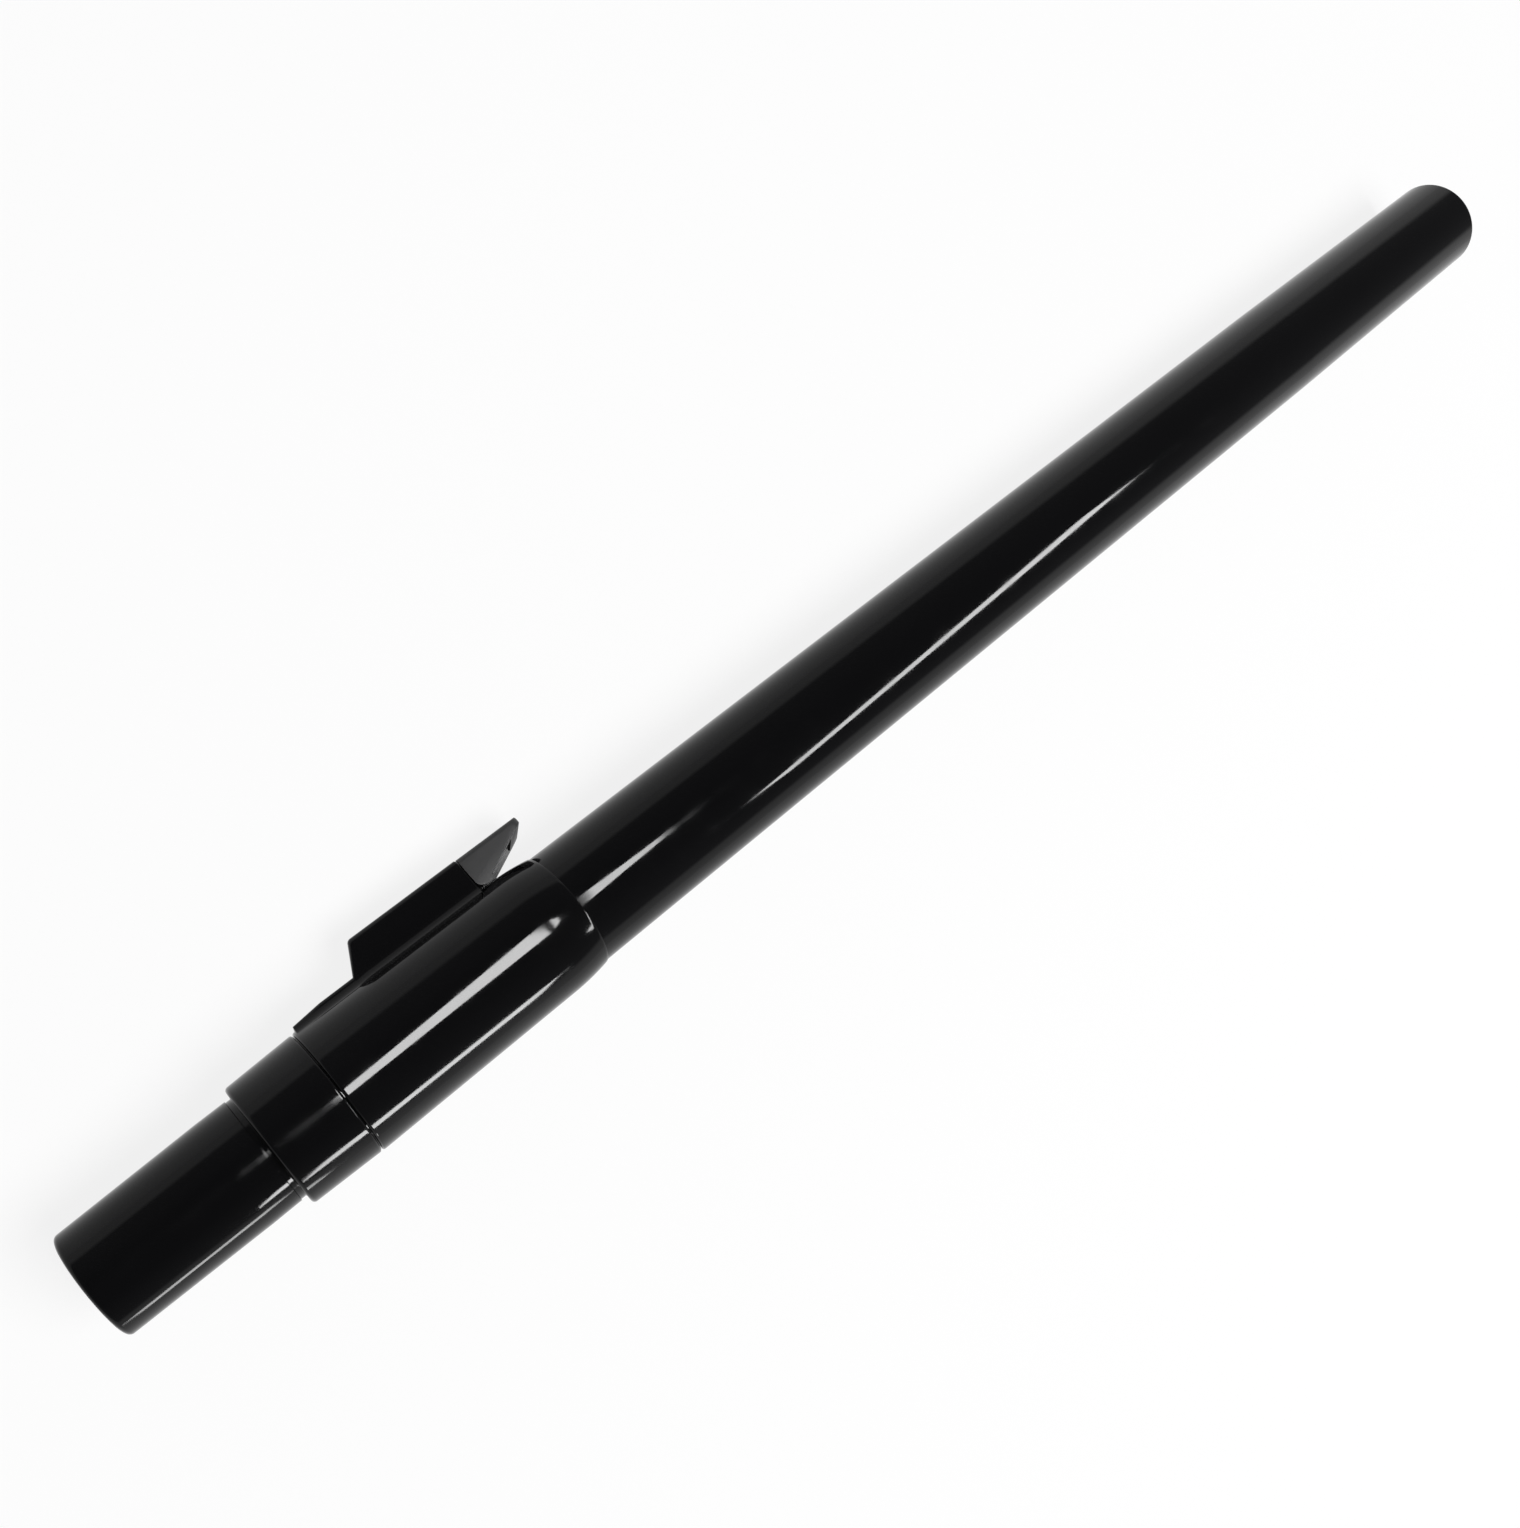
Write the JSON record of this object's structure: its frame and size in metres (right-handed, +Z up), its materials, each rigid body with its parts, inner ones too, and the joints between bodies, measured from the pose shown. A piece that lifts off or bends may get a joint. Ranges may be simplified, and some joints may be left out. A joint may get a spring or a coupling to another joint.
{
  "type": "vacuum cleaner extension wand",
  "caption": "Rigid glossy black vacuum cleaner wand: a long straight tube with a tapered male connector, an end ring and a collar that carries a sprung thumb latch.",
  "frame": {"origin": "on the ground under the middle of the wand's overall box, as it lies on its side", "axes": "+X along the wand from the connector to the far mouth, +Y towards the latch, +Z up"},
  "size_m": [0.61, 0.049, 0.0388],
  "materials": {
    "gloss_black": "polished black moulding with faint flow lines and fine handling scratches",
    "satin_black": "satin black moulding with a fine even grain",
    "pin_steel": "ground steel pin",
    "spring_steel": "bright drawn spring wire"
  },
  "bodies": {
    "wand": {"wand_tube": "gloss_black", "connector": "gloss_black", "end_ring": "gloss_black", "latch_collar": "gloss_black", "hinge_pin": "pin_steel", "latch_spring": "spring_steel"},
    "latch": {"latch_lever": "satin_black"}
  },
  "joints": [
    {"name": "latch_press", "type": "hinge", "parent": "wand", "child": "latch", "pos_m": [-0.176, 0.01655, 0.00901], "axis": [0, -0.4329, -0.9015], "range_deg": [0, 3.6], "stiffness_Nm_per_rad": 0.48, "springref_deg": -9.57, "deforming": ["latch_spring"]}
  ]
}
